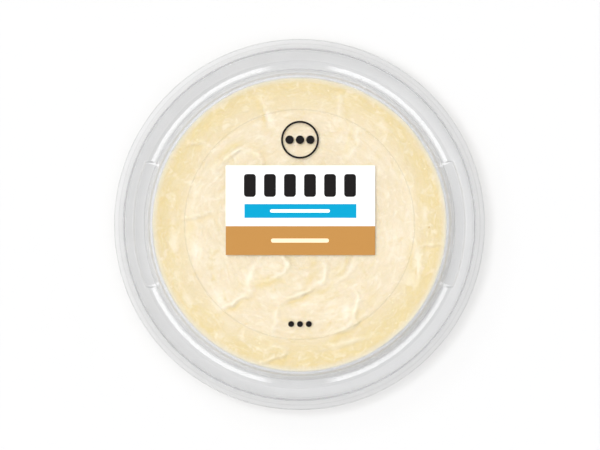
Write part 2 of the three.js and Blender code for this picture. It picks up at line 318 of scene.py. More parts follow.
tubPlastic = clearPlastic("tubPlastic", {**plasticLook, **tubChanges}, stepPaintedGrey)
lidPlastic = clearPlastic("lidPlastic", plasticLook, ringShadeLines, lidPaintedRings, shift=0.31)
dipSkin = hummusSkin()
paleGrain = speckSkin("paleGrain", (0.73, 0.65, 0.47), (0.67, 0.57, 0.36))
huskFleck = speckSkin("huskFleck", (0.42, 0.26, 0.10), (0.55, 0.38, 0.18))
cardWhite = printedPaper("cardWhite", grey(0.86))
bandTan = printedPaper("bandTan", (0.375, 0.188, 0.052), 0.03, 0.5, 0)
barBlue = printedPaper("barBlue", (0.001, 0.252, 0.43), 0.03, 0.5, 0)
inkBlack = printedPaper("inkBlack", (0.006, 0.005, 0.005), 0.1, 0.5, 0)
inkWhite = printedPaper("inkWhite", grey(0.84))
inkCream = printedPaper("inkCream", (0.80, 0.62, 0.42))
print("finishes made")


# formed sheet: a section line with bends is given its wall and swept round; most is the share of a side
# that its bends may take, outside and rawEdge are radii as shares of the wall
bendForm = {"steps": 5, "most": 0.9, "guard": 0.06, "guardShare": 0.2, "outside": 0.4, "rawEdge": 0.45}


def rightOf(way):
    way = way / np.maximum(np.linalg.norm(way, axis=-1, keepdims=True), 1e-9)
    return np.stack([way[..., 1], -way[..., 0]], axis=-1)


def offsetLine(line, distance):
    sides = rightOf(np.diff(line, axis=0))
    before = np.vstack([sides[:1], sides])
    after = np.vstack([sides, sides[-1:]])
    mitre = distance / (1 + (before * after).sum(1))
    return line + (before + after) * mitre[:, None]


def turnsOf(line):
    ways = np.diff(line, axis=0)
    angles = np.unwrap(np.arctan2(ways[:, 1], ways[:, 0]))
    return np.concatenate([[0], np.diff(angles), [0]])


def roundedLine(line, radii):
    # every corner becomes a bend, with a point just before and after it that keeps the flats flat
    form = bendForm
    cuts = radii * np.tan(np.abs(turnsOf(line)) / 2)
    lengths = np.linalg.norm(np.diff(line, axis=0), axis=1)
    share = np.ones(len(line))
    for k, length in enumerate(lengths):
        used = cuts[k] + cuts[k + 1]
        if used > form["most"] * length:
            share[k] = min(share[k], form["most"] * length / used)
            share[k + 1] = min(share[k + 1], form["most"] * length / used)
    cuts = cuts * share
    ways = np.diff(line, axis=0) / lengths[:, None]
    guards = np.minimum(form["guard"], form["guardShare"] * (lengths - cuts[:-1] - cuts[1:]))
    points = [line[0]]
    for k in range(1, len(line) - 1):
        start = line[k] - ways[k - 1] * cuts[k]
        end = line[k] + ways[k] * cuts[k]
        points.append(start - ways[k - 1] * guards[k - 1])
        for t in np.linspace(0, 1, form["steps"] + 1):
            points.append((1 - t) ** 2 * start + 2 * t * (1 - t) * line[k] + t ** 2 * end)
        points.append(end + ways[k] * guards[k])
    points.append(line[-1])
    return np.array(points)


def sheetLoop(corners, wall):
    # corners are (x, z, inner bend radius) along the upper face, from the axis outwards
    line = np.array([c[:2] for c in corners], float)
    bends = np.array([c[2] for c in corners], float)
    wider = bends + bendForm["outside"] * wall
    turns = turnsOf(line)
    radiiUnder = np.where(turns > 0, wider, bends)
    radiiOver = np.where(turns > 0, bends, wider)
    radiiUnder[-1] = radiiOver[-1] = bendForm["rawEdge"] * wall
    loop = np.vstack([offsetLine(line, wall), line[::-1]])
    return roundedLine(loop, np.concatenate([radiiUnder, radiiOver[::-1]]))


def sweep(sections, angles):
    # sections holds one loop of (x, z) for each angle, and both ends of a loop lie on the axis
    count, rows = len(angles), sections.shape[1] - 2
    first, last = [(0, 0, sections[0][0, 1])], [(0, 0, sections[0][-1, 1])]
    reach, rise = sections[:, 1:-1, 0], sections[:, 1:-1, 1]
    ring = np.stack([reach * np.cos(angles)[:, None], reach * np.sin(angles)[:, None], rise], axis=-1)
    points = np.vstack([first, ring.transpose(1, 0, 2).reshape(-1, 3), last])
    top = 1 + (rows - 1) * count
    faces = []
    for j in range(count):
        k = (j + 1) % count
        faces.append((0, 1 + k, 1 + j))
        for i in range(rows - 1):
            low, high = 1 + i * count, 1 + (i + 1) * count
            faces.append((low + j, low + k, high + k, high + j))
        faces.append((top + j, top + k, len(points) - 1))
    return points, faces


# tub: raised base, rounded heel, tapered wall, step, flange that turns down
tubForm = {"wall": 0.45, "segments": 420,
           "corners": [(0, 2.05, 0), (36.6, 2.05, 0.6), (38, 0.45, 0.5), (42.8, 0.45, 2.2), (46.5, 31.2, 0.3),
                       (48.7, 32.0, 0.3), (48.8, 35.6, 0.3), (55.4, 35.6, 0.2), (55.4, 33.2, 0)]}


def makeTub():
    form = tubForm
    loop = sheetLoop(form["corners"], form["wall"])
    angles = np.linspace(0, 2 * np.pi, form["segments"], endpoint=False)
    points, faces = sweep(np.repeat(loop[None], form["segments"], axis=0), angles)
    piece = addMesh("clear_tub", points, faces, tubPlastic)
    settle(piece, "tub")


makeTub()
print("tub made")


# lid: raised disc and panel, plug wall with a shoulder or a shelf, then ring, skirt and flange;
# drop gives how far it is a shelf by the angle from the side
lidForm = {"wall": 0.4, "step": 0.94, "denseStep": 0.08, "denseHalf": 0.96, "shelfHalf": 22.6, "gap": 0.3,
           "drop": [(22.1, 1.0), (22.85, 0.35), (23.25, 0.0)],
           "middle": [(0, 34.0, 0), (36.3, 34.0, 0.08), (36.5, 33.8, 0.08), (47.28, 33.8, 0.25)],
           "shoulder": [(47.82, 36.98, 0.25), (49.7, 36.98, 0.2), (50.95, 37.85, 0.35), (52.2, 38.0, 0.3)],
           "shelf": [(47.82, 36.5, 0.25), (52.2, 36.5, 0.15), (52.36, 37.56, 0.1), (53.0, 37.86, 0.15)],
           "skirt": [(55.8, 37.9, 0.06), (55.92, 34.4, 0.3), (55.97, 33.0, 0.1), (56.2, 32.72, 0.08),
                     (56.7, 32.54, 0.1), (59, 31.85, 0)]}


def lidLoop(rim):
    form = lidForm
    return sheetLoop([*form["middle"], *form[rim], *form["skirt"]], form["wall"])


def lidAngles():
    # even round the lid, and dense where a shoulder drops to a shelf
    form = lidForm
    half, shelf = form["denseHalf"], form["shelfHalf"]
    ends = [shelf, 180 - shelf, 180 + shelf, 360 - shelf]
    least = half + form["gap"]
    even = [a for a in np.arange(0, 360, form["step"]) if min(abs(a - e) for e in ends) > least]
    dense = [e + d for e in ends for d in np.arange(-half, half + 0.01, form["denseStep"])]
    return np.radians(sorted(even + dense))


def shelfShare(angles):
    # 1 on the side shelves, 0 on the shoulders, with a steep drop and a flatter toe between them
    fromSide = np.degrees(np.abs(np.arcsin(np.sin(angles))))
    return np.interp(fromSide, *zip(*lidForm["drop"]))


def makeLid():
    angles = lidAngles()
    share = shelfShare(angles)[:, None, None]
    points, faces = sweep(lidLoop("shoulder")[None] * (1 - share) + lidLoop("shelf")[None] * share, angles)
    piece = addMesh("clear_lid", points, faces, lidPlastic)
    settle(piece, "lid")


makeLid()
print("lid made")


# hummus: a worked top, and a side pressed against the tub
dipForm = {"level": 30.3, "rings": 140, "topRadius": 46.85, "intoWall": 0.12, "sideRows": 22,
           "sideTop": 0.93, "sideBend": 0.1,
           "swell": 0.3, "smear": 0.5, "smearWidth": 3.0, "smearAt": 46.5,
           "strokeDepth": 0.85, "sampleStep": 0.6, "endFade": 0.08, "endPower": 0.6,
           "lip": 0.2, "lipWidth": 0.58, "creaseShare": 0.5, "creaseOffset": 1.4,
           "bend": 0.55, "bendCell": 2.6, "uneven": 0.35, "unevenCell": 2.8,
           "faded": 0.85, "fadeSwing": 0.5, "fadeCell": 4.2, "fadeLimits": (0.5, 1.1), "dugDepth": 0.2,
           "lump": 0.14, "lumpCell": 3.2, "warp": 2.2, "warpCell": 9,
           "streak": 0.13, "streakWidth": 1.4, "streakCount": 34, "streakFrom": 12, "streakShade": 0.5,
           "curd": 0.05, "curdCell": 0.9}

# each spoon stroke: start x and y, heading, length, turn in its two halves, height, half width, crease side
# with its strength
spoonStrokes = [
    (-7.3, -9.4, 5, 18, -150, -35, 1.2, 1.2, 0.4), (-13.4, -11.4, -117, 9.5, 6, 10, 0.9, 1.6, 0),
    (-15.2, -21, -149, 13.5, 0, -6, 0.9, 1.1, 1), (7.4, -12.6, -50, 9.5, -70, -38, 1.2, 1.2, 0),
    (4.5, -20.3, -158, 12, -4, 10, 1.1, 1.1, 1), (-4.4, -24.2, -150, 12.5, 48, 8, 1, 1.3, 0),
    (17.7, -10, -96, 10.5, -22, -36, 0.8, 1.2, -1), (13, -20.2, 38, 17.6, -138, -4, 1.1, 1.2, 0),
    (21.2, -29, -151, 12.5, 0, -4, 0.9, 1.1, 1), (7.5, -39.9, 15, 20, 4, -18, 0.7, 1.2, -1),
    (-9.4, -38.4, 2, 6, -15, -60, 0.8, 1.1, 0), (-4.2, -40.4, -140, 8.5, -20, 0, 1, 1.1, 1),
    (-13.2, 41.5, -55, 11, -10, -20, 0.8, 1.2, -1), (-27.4, 17.9, 46, 19.5, -20, -110, 1.1, 1.2, 0.8),
    (-36.1, 25.7, 16, 7, -14, -14, 0.7, 1.1, -1), (12.7, 41.2, -90, 10, 3, 4, 0.8, 1.3, 1),
    (18.7, 30.2, -96, 11, -8, -66, 0.9, 1.2, -1), (-38.8, 2.1, 9, 12, 3, -4, 0.7, 1.1, -1),
    (37.8, -7.6, -92, 16.5, 6, -70, 0.75, 1.4, -1), (38.6, -7, 35, 6.5, -35, 0, 0.6, 1, -1),
    (31, 21, -58, 28, -22, -22, 0.4, 2.4, 0), (-31, 16, -116, 30, 22, 26, 0.4, 2.6, 0),
    (-28, -28, -40, 18, 14, 16, 0.4, 2.4, 0),
]

# pale places that the spoon has smoothed, paler partly in their own tone and partly as painted sheen where
# the smooth faces catch the light: x, y, half length, half width, heading, strength
smoothedSheenPlaces = [
    (-9.1, -13.2, 3.5, 1.8, 0, 0.7), (-16.1, -17, 3, 1.2, 75, 0.6), (15.7, 25.6, 3.2, 1.6, 80, 0.9),
    (-9.7, 34.2, 2.2, 1.2, 110, 0.9), (-32.6, -7.8, 4, 2, 100, 0.7), (-27.5, -10.7, 3.6, 3, 110, 0.7),
    (-25.3, -23.4, 4, 2.4, 115, 0.7), (37.2, -12.6, 5, 1.3, 88, 0.75), (14.8, -28.4, 3.4, 1.5, 77, 0.8),
    (1.8, -25.6, 3.6, 1, 12, 0.8), (-7.8, -22.1, 3, 2, 20, 0.6), (40, 3.4, 3.2, 0.9, 92, 0.7),
    (30, -5, 5.5, 3.2, 85, 0.45), (10, -27, 5, 2.2, 80, 0.5), (35, -18, 4, 1.6, 70, 0.8),
    (19.4, -21.5, 3, 1, 80, 0.5), (-20.4, 21.4, 3, 1.2, 40, 0.6), (26.2, 31.8, 2.6, 1.2, -50, 0.7),
    (-40, -4, 8, 1.3, 95, 0.6), (-36, -23.5, 7, 1.3, 122, 0.6), (-24.8, -35.8, 2.4, 1.2, 145, 0.6),
    (41.3, -8.4, 3, 1, 80, 0.6), (-11.4, 40.9, 2.4, 1.2, 15, 0.6), (13, 40.4, 2.4, 1.1, -15, 0.5),
    (30.2, 16.7, 2.2, 1.2, 110, 0.5),
]

# hollows where it has dug in, given in the same way: they are lowered a little, and their yellow is painted
# shade
shadedHollows = [
    (-10.2, -18.4, 4.6, 1.4, 9, 1.2), (12.6, -36, 4.4, 1.3, 32, 1), (-27.3, 33.5, 3, 1.6, 40, 0.8),
    (7.6, -21.1, 2.8, 0.9, 22, 0.8), (4.1, -12.4, 2.4, 1.2, 80, 0.7), (22.6, -24, 2.6, 1.5, 60, 0.6),
    (3.6, -17, 3, 1.2, 50, 0.7), (12.7, 30.7, 2, 1.2, 70, 0.5), (-10, -37.4, 9, 1.4, -15, 0.35),
    (-24.4, 21, 2.2, 1.2, 45, 0.6), (18.4, -30, 3.6, 1.8, 70, 0.6), (40.4, -15.2, 3, 1.2, 84, 0.7),
    (38.9, 9.6, 2.6, 1.2, 100, 0.5), (-34.9, -1, 4.6, 1.4, 92, 0.7), (-14.8, 22.8, 2, 1.2, -60, 0.6),
    (12.1, -14.4, 2.2, 1.2, 60, 0.5), (-43.8, 7, 5, 1.1, 99, 0.6), (43.6, 9.2, 4, 1, 78, 0.5),
]


def gridNoise(u, v, seed, wrap=128):
    # smooth values between -1 and 1 on a grid that repeats after wrap cells along u
    grid = np.random.default_rng(seed).uniform(-1, 1, (wrap, 128))
    i, j = np.floor(u).astype(int), np.floor(v).astype(int)
    s, t = u - i, v - j
    s, t = s * s * s * (s * (6 * s - 15) + 10), t * t * t * (t * (6 * t - 15) + 10)
    near = grid[i % wrap, j % 128] * (1 - s) + grid[(i + 1) % wrap, j % 128] * s
    far = grid[i % wrap, (j + 1) % 128] * (1 - s) + grid[(i + 1) % wrap, (j + 1) % 128] * s
    return near * (1 - t) + far * t


def softNoise(x, y, cell, seed):
    return gridNoise(x / cell + 64, y / cell + 64, seed)


def streakNoise(x, y, count, width, seed):
    # the same noise drawn out round the middle
    return gridNoise(np.arctan2(y, x) * count / (2 * np.pi) + count, np.hypot(x, y) / width, seed, count)


def strokeTrail(stroke):
    # points along the stroke, with its heading and how full it is there
    form = dipForm
    x, y, heading, length, turnOne, turnTwo = stroke[:6]
    count = math.ceil(length / form["sampleStep"])
    heading, step, trail = math.radians(heading), length / count, []
    for k in range(count + 1):
        along = min(max(k / count, form["endFade"]), 1 - form["endFade"])
        trail.append((x, y, heading, math.sin(math.pi * along) ** form["endPower"]))
        heading += math.radians(turnOne if k < count / 2 else turnTwo) / (count / 2)
        x += step * math.cos(heading)
        y += step * math.sin(heading)
    return trail


def bell(distance, width):
    return np.exp(-((distance / width) ** 2))


def placeShare(x, y, places):
    share = np.zeros_like(x)
    for px, py, long, wide, heading, strength in places:
        turn = math.radians(heading)
        along = (x - px) * math.cos(turn) + (y - py) * math.sin(turn)
        aside = (y - py) * math.cos(turn) - (x - px) * math.sin(turn)
        share = np.maximum(share, strength * bell(np.hypot(along / long, aside / wide), 1))
    return share


def slowSwell(x, y):
    # crossed waves 20 to 60 mm long, the same as the solid's
    return np.sin(0.13 * x + 0.9) * np.cos(0.11 * y - 0.4) + 0.6 * np.sin(0.21 * x - 0.17 * y)


def strokeShares(x, y, uneven, stroke):
    # how much of the stroke's ridge, of its sharper lip and of the crease beside it reaches each point
    form = dipForm
    width, side = stroke[7:]
    offset = side * form["creaseOffset"] * width
    ridge, lip, crease = np.zeros_like(x), np.zeros_like(x), np.zeros_like(x)
    for px, py, heading, full in strokeTrail(stroke):
        away = np.hypot(x - px, y - py) * uneven
        ridge = np.maximum(ridge, full * bell(away, width))
        lip = np.maximum(lip, full * bell(away, form["lipWidth"] * width))
        aside = np.hypot(x - px + offset * math.sin(heading), y - py - offset * math.cos(heading))
        crease = np.maximum(crease, full * bell(aside, width))
    return ridge, lip, crease


def dipTexture(x, y):
    # slow lumps, streaks drawn round the middle, and fine curd
    form = dipForm
    warpX = x + form["warp"] * softNoise(x, y, form["warpCell"], seed=11)
    warpY = y + form["warp"] * softNoise(x, y, form["warpCell"], seed=12)
    lumps = softNoise(warpX, warpY, form["lumpCell"], seed=21)
    count, width = form["streakCount"], form["streakWidth"]
    streaks = streakNoise(warpX, warpY, count, width, seed=31)
    streaks += 0.5 * streakNoise(warpX, warpY, 2 * count, width / 2, seed=32)
    streaks *= np.clip(np.hypot(x, y) / form["streakFrom"], 0, 1)
    curd = softNoise(x, y, form["curdCell"], seed=51) + 0.6 * softNoise(x, y, 0.5 * form["curdCell"], seed=52)
    return form["lump"] * lumps + form["streak"] * streaks + form["curd"] * curd, streaks


def dipRelief(x, y):
    # the top's height over its level, with how much painted crease shade, painted crest highlight and pale
    # each point has
    form = dipForm
    smear = form["smear"] * bell(form["smearAt"] - np.hypot(x, y), form["smearWidth"])
    height = form["swell"] * slowSwell(x, y) + smear
    fold, crestHighlight = np.zeros_like(x), np.zeros_like(x)
    bentX = x + form["bend"] * softNoise(x, y, form["bendCell"], seed=61)
    bentY = y + form["bend"] * softNoise(x, y, form["bendCell"], seed=62)
    uneven = 1 + form["uneven"] * softNoise(x, y, form["unevenCell"], seed=63)
    faded = form["faded"] + form["fadeSwing"] * softNoise(x, y, form["fadeCell"], seed=64)
    faded = np.clip(faded, *form["fadeLimits"])
    for stroke in spoonStrokes:
        tall, side = stroke[6], abs(stroke[8])
        ridge, lip, crease = (share * faded for share in strokeShares(bentX, bentY, uneven, stroke))
        raised = ridge + form["lip"] * (lip - ridge) - side * form["creaseShare"] * crease
        height += form["strokeDepth"] * tall * raised
        # the crease beside a ridge gets painted shade, its lip a painted highlight
        fold = np.maximum(fold, tall * side * crease * (1 - ridge))
        crestHighlight = np.maximum(crestHighlight, tall * lip)
    texture, streaks = dipTexture(x, y)
    height += texture
    # painted shade in the streaks' troughs too
    fold = np.maximum(fold, form["streakShade"] * np.clip(-streaks - 0.5, 0, 1))
    dug = placeShare(bentX, bentY, shadedHollows)
    height -= form["dugDepth"] * dug
    # the hollows get painted shade
    fold = np.maximum(fold, dug)
    pale = placeShare(x, y, smoothedSheenPlaces)
    return height, {"fold": np.clip(fold, 0, 1), "crestHighlight": np.clip(crestHighlight, 0, 1), "pale": pale}


def zipRings(faces, lower, lowerCount, upper, upperCount):
    # faces between two rings with different numbers of points, wound so that they face out and up
    i = j = 0
    while i < lowerCount or j < upperCount:
        a = lower + i % lowerCount if lowerCount else lower
        b = upper + j % upperCount if upperCount else upper
        if i < lowerCount and (j >= upperCount or (i + 1) * upperCount <= (j + 1) * lowerCount):
            faces.append((a, lower + (i + 1) % lowerCount, b))
            i += 1
        else:
            faces.append((a, upper + (j + 1) % upperCount, b))
            j += 1


def dipSide():
    # the tub's inner line, moved a little into its wall, up to just under the dip's level
    form = dipForm
    inside = np.array(tubForm["corners"][:5], float)
    line = offsetLine(inside[:, :2], form["intoWall"])
    line[-1] = line[-2] + (line[-1] - line[-2]) * form["sideTop"]
    rounded = roundedLine(line, inside[:, 2] + form["sideBend"])[1:]
    rise = np.linspace(0, 1, form["sideRows"] + 1)[1:, None]
    return np.vstack([rounded[:-1], rounded[-2] + (rounded[-1] - rounded[-2]) * rise])


def ringRow(radius, count, level):
    angles = np.arange(count) * 2 * np.pi / count
    return np.stack([radius * np.cos(angles), radius * np.sin(angles), np.full(count, level)], 1)


def makeDip():
    # rows of points from the middle of the base, up the side and in over the top, whose heights come last
    form = dipForm
    rings, side, later = form["rings"], dipSide(), np.nan
    rows = [np.array([[0, 0, side[0, 1]]])]
    rows += [ringRow(x, 6 * rings, z) for x, z in side]
    rows += [ringRow(form["topRadius"] * k / rings, 6 * k, later) for k in range(rings, 0, -1)]
    rows.append(np.array([[0, 0, later]]))
    points = np.vstack(rows)
    top = np.isnan(points[:, 2])
    height, marks = dipRelief(points[top, 0], points[top, 1])
    points[top, 2] = form["level"] + height
    faces, start = [], 0
    counts = [len(row) if len(row) > 1 else 0 for row in rows]
    for row, lower, upper in zip(rows, counts, counts[1:]):
        zipRings(faces, start, lower, start + len(row), upper)
        start += len(row)
    piece = addMesh("hummus_dip", points, faces, dipSkin)
    for name, values in marks.items():
        full = np.zeros(len(points), np.float32)
        full[top] = values
        piece.data.attributes.new(name, "FLOAT", "POINT").data.foreach_set("value", full)
    settle(piece, "hummus")
    return piece, int(np.argmax(top))


dip, firstTop = makeDip()
print("hummus made:", len(dip.data.polygons), "faces")


# node trees: printed marks in a row, a printed ring, and grains strewn on the dip
def newTree(name, **sockets):
    tree = bpy.data.node_groups.new(name, "GeometryNodeTree")
    tree.interface.new_socket("Geometry", in_out="INPUT", socket_type="NodeSocketGeometry")
    for label, kind in sockets.items():
        tree.interface.new_socket(label, in_out="INPUT", socket_type="NodeSocket" + kind)
    tree.interface.new_socket("Geometry", in_out="OUTPUT", socket_type="NodeSocketGeometry")
    given = tree.nodes.new("NodeGroupInput").outputs
    result = tree.nodes.new("NodeGroupOutput").inputs[0]
    return tree, given, result


def addStep(tree, kind, inputs, **settings):
    return addNode(tree, "GeometryNode" + kind, inputs, **settings).outputs[0]


def addRandom(tree, low, high, seed, kind="FLOAT_VECTOR"):
    node = addNode(tree, "FunctionNodeRandomValue", {"Min": low, "Max": high, "Seed": seed}, data_type=kind)
    return openSocket(node.outputs, "Value")


def endTree(tree, geometry, finish, result, smooth=False):
    geometry = addStep(tree, "RealizeInstances", {"Geometry": geometry})
    if smooth:
        geometry = addStep(tree, "SetShadeSmooth", {"Geometry": geometry})
    tree.links.new(addStep(tree, "SetMaterial", {"Geometry": geometry, "Material": finish}), result)
    return tree


def markRowTree():
    tree, given, result = newTree("markRow", Count="Int", Pitch="Float", Width="Float", Depth="Float",
                                  Corner="Float", Thickness="Float", Place="Vector", Finish="Material")
    quad = addStep(tree, "CurvePrimitiveQuadrilateral", {"Width": given["Width"], "Height": given["Depth"]})
    rounded = addStep(tree, "FilletCurve", {"Curve": quad, "Radius": given["Corner"], "Limit Radius": True,
                                            "Count": 8}, mode="POLY")
    face = addStep(tree, "FillCurve", {"Curve": rounded}, mode="NGONS")
    raised = addStep(tree, "ExtrudeMesh", {"Mesh": face, "Offset Scale": given["Thickness"],
                                           "Individual": False})
    under = addStep(tree, "FlipFaces", {"Mesh": face})
    block = addNode(tree, "GeometryNodeJoinGeometry", {"Geometry": raised})
    tree.links.new(under, block.inputs[0])
    solid = addStep(tree, "MergeByDistance", {"Geometry": block.outputs[0], "Distance": 1e-6})
    step = addNode(tree, "ShaderNodeCombineXYZ", {"X": given["Pitch"]}).outputs[0]
    line = addStep(tree, "MeshLine", {"Count": given["Count"], "Offset": step})
    # the row starts half its length back from its place
    half = addMath(tree, "MULTIPLY", addMath(tree, "SUBTRACT", given["Count"], 1), -0.5)
    shift = addMath(tree, "MULTIPLY", half, given["Pitch"])
    back = addNode(tree, "ShaderNodeCombineXYZ", {"X": shift}).outputs[0]
    centred = addVector(tree, "ADD", given["Place"], back)
    marks = addStep(tree, "InstanceOnPoints", {"Points": line, "Instance": solid})
    placed = addStep(tree, "Transform", {"Geometry": marks, "Translation": centred})
    return endTree(tree, placed, given["Finish"], result)


def markRingTree():
    tree, given, result = newTree("markRing", Radius="Float", Line="Float", Thickness="Float",
                                  Place="Vector", Finish="Material")
    circle = addStep(tree, "CurvePrimitiveCircle", {"Resolution": 96, "Radius": given["Radius"]})
    profile = addStep(tree, "CurvePrimitiveQuadrilateral", {"Width": given["Line"],
                                                            "Height": given["Thickness"]})
    band = addStep(tree, "CurveToMesh", {"Curve": circle, "Profile Curve": profile})
    placed = addStep(tree, "Transform", {"Geometry": band, "Translation": given["Place"]})
    return endTree(tree, placed, given["Finish"], result)


def strewnTree():
    tree, given, result = newTree("strewn", Density="Float", Seed="Int", Smallest="Float", Largest="Float",
                                  Sink="Float", Finish="Material")
    weight = addStep(tree, "InputNamedAttribute", {"Name": "strew"}, data_type="FLOAT")
    density = addMath(tree, "MULTIPLY", weight, given["Density"])
    points = addStep(tree, "DistributePointsOnFaces", {"Mesh": given["Geometry"], "Density": density,
                                                       "Seed": given["Seed"]}, distribute_method="RANDOM")
    lump = addStep(tree, "MeshUVSphere", {"Segments": 8, "Rings": 6, "Radius": 0.5})
    size = addRandom(tree, given["Smallest"], given["Largest"], 3, "FLOAT")
    shape = addRandom(tree, (0.7, 0.55, 0.45), (1.25, 1.0, 0.8), 4)
    turn = addRandom(tree, (0, 0, 0), (0.5, 0.5, 6.283), 5)  # tips a little and turns any way
    scale = addNode(tree, "ShaderNodeVectorMath", {0: shape, "Scale": size}, operation="SCALE").outputs[0]
    grains = addStep(tree, "InstanceOnPoints", {"Points": points, "Instance": lump, "Rotation": turn,
                                                "Scale": scale})
    down = addNode(tree, "ShaderNodeCombineXYZ", {"Z": given["Sink"]}).outputs[0]
    sunk = addStep(tree, "TranslateInstances", {"Instances": grains, "Translation": down,
                                                "Local Space": False})
    return endTree(tree, sunk, given["Finish"], result, smooth=True)


def growPiece(name, tree, values, carrier=None):
    # evaluates the tree on a carrier mesh and keeps the result as a plain mesh
    source = bpy.data.objects.new(name + "_source", carrier or bpy.data.meshes.new(name + "_carrier"))
    scene.collection.objects.link(source)
    modifier = source.modifiers.new("grow", "NODES")
    modifier.node_group = tree
    for item in tree.interface.items_tree:
        if item.in_out == "INPUT" and item.name in values:
            modifier[item.identifier] = values[item.name]
    source.update_tag()
    bpy.context.view_layer.update()
    evaluated = source.evaluated_get(bpy.context.evaluated_depsgraph_get())
    mesh = bpy.data.meshes.new_from_object(evaluated)
    mesh.name = name
    piece = bpy.data.objects.new(name, mesh)
    scene.collection.objects.link(piece)
    bpy.data.objects.remove(source)
    return piece


# printed card on the lid, with its tan band and blue bar
cardForm = {"width": 47.4, "depth": 28.4, "x": 0.3, "y": 4.5, "under": 34.015, "top": 34.20, "bevel": 0.05,
            "bandDepth": 9.2, "barWidth": 35.6, "barDepth": 4.45, "barY": 4.3,
            "ink": 0.06, "inkGap": 0.015, "inkBevel": 0.01, "cell": 1.2, "wave": 0.012, "waveCell": 9}


def flatSheet(name, width, depth, y, under, top, bevel, material):
    # a thin sheet with softened edges and a faint unevenness, gridded so that it can bend
    x, cell = cardForm["x"], cardForm["cell"]
    nx, ny = max(2, round(width / cell)), max(2, round(depth / cell))
    us, vs = np.linspace(-width / 2, width / 2, nx + 1), np.linspace(-depth / 2, depth / 2, ny + 1)
    gu, gv = np.meshgrid(us, vs, indexing="ij")
    lift = cardForm["wave"] * softNoise(gu + x, gv + y, cardForm["waveCell"], seed=71)

    def layer(level, inset):
        shrunkU, shrunkV = gu * (1 - 2 * inset / width), gv * (1 - 2 * inset / depth)
        return np.stack([shrunkU + x, shrunkV + y, level + lift], -1).reshape(-1, 3)

    def at(i, j):
        return i * (ny + 1) + j

    border = [at(i, 0) for i in range(nx + 1)] + [at(nx, j) for j in range(1, ny + 1)]
    border += [at(i, ny) for i in range(nx - 1, -1, -1)] + list(range(ny - 1, 0, -1))
    count, rim = gu.size, len(border)
    high, low = 2 * count, 2 * count + rim
    points = np.vstack([layer(top, bevel), layer(under, bevel),
                        layer(top - bevel, 0)[border], layer(under + bevel, 0)[border]])
    faces = []
    for i in range(nx):
        for j in range(ny):
            a, b, c, d = at(i, j), at(i + 1, j), at(i + 1, j + 1), at(i, j + 1)
            faces.append((a, b, c, d))
            faces.append((count + d, count + c, count + b, count + a))
    for k in range(rim):
        n = (k + 1) % rim
        faces.append((high + k, high + n, border[n], border[k]))
        faces.append((low + k, low + n, high + n, high + k))
        faces.append((count + border[k], count + border[n], low + n, low + k))
    return addMesh(name, points, faces, material, smooth=False)


def makeCard():
    form = cardForm
    card = flatSheet("card_sheet", form["width"], form["depth"], form["y"], form["under"], form["top"],
                     form["bevel"], cardWhite)
    inkUnder, inkTop = form["top"] + form["inkGap"], form["top"] + form["ink"]
    bandY = form["y"] - (form["depth"] - form["bandDepth"]) / 2
    band = flatSheet("tan_band", form["width"], form["bandDepth"], bandY, inkUnder, inkTop,
                     form["inkBevel"], bandTan)
    bar = flatSheet("blue_bar", form["barWidth"], form["barDepth"], form["barY"], inkUnder, inkTop,
                    form["inkBevel"], barBlue)
    settle(card, "label")
    settle(band, "label_band")
    settle(bar, "label_bar")


makeCard()
print("card made")


# plain printed marks, with no lettering: blocks, bars, dots and a ring
markForm = {"ink": 0.05, "x": 0.15, "overCard": 0.03, "overInk": 0.02, "onLid": 34.025,
            "blocks": {"count": 6, "pitch": 6.36, "width": 3.8, "depth": 7.3, "corner": 1.0, "y": 12.4},
            "claim": {"count": 1, "pitch": 1, "width": 19, "depth": 1.0, "corner": 0.5, "y": 4.3},
            "kind": {"count": 1, "pitch": 1, "width": 18.4, "depth": 1.3, "corner": 0.65, "y": -5.1},
            "peas": {"count": 3, "pitch": 3.3, "width": 2.7, "depth": 2.7, "corner": 1.35, "y": 26.9},
            "weight": {"count": 3, "pitch": 2.8, "width": 1.9, "depth": 1.9, "corner": 0.95, "y": -31.6},
            "ring": {"radius": 5.7, "line": 0.62, "y": 26.9}}


def makeMarks():
    form = markForm
    rowTree, ringTree = markRowTree(), markRingTree()
    ink, onLid = form["ink"], form["onLid"]
    onCard = cardForm["top"] + form["overCard"]
    onInk = cardForm["top"] + cardForm["ink"] + form["overInk"]
    rows = [("ink_blocks", "blocks", onCard, inkBlack), ("claim_bar", "claim", onInk, inkWhite),
            ("kind_bar", "kind", onInk, inkCream), ("ring_peas", "peas", onLid, inkBlack),
            ("weight_dots", "weight", onLid, inkBlack)]
    for name, key, level, finish in rows:
        row = form[key]
        values = {"Count": row["count"], "Pitch": row["pitch"] * mm, "Width": row["width"] * mm,
                  "Depth": row["depth"] * mm, "Corner": row["corner"] * mm, "Thickness": ink * mm,
                  "Place": (form["x"] * mm, row["y"] * mm, level * mm), "Finish": finish}
        settle(growPiece(name, rowTree, values))
    ring = form["ring"]
    values = {"Radius": ring["radius"] * mm, "Line": ring["line"] * mm, "Thickness": ink * mm,
              "Place": (form["x"] * mm, ring["y"] * mm, (onLid + ink / 2) * mm), "Finish": inkBlack}
    settle(growPiece("ring_line", ringTree, values))


makeMarks()
print("marks made")


# grains and husk flecks on the dip's top: how many to a square metre at most, and their sizes
grainForm = {"pale": {"Density": 45000.0, "Seed": 5, "Smallest": 0.4 * mm, "Largest": 0.8 * mm,
                      "Sink": -0.12 * mm},
             "fleck": {"Density": 1500.0, "Seed": 9, "Smallest": 0.3 * mm, "Largest": 0.6 * mm,
                       "Sink": -0.05 * mm}}
strewForm = {"cell": 8, "swing": 1.5, "middle": 0.2, "least": 0.02,
             "from": 24, "over": 18, "inside": 0.1, "edgeGap": 1.0, "edgeFade": 0.5}


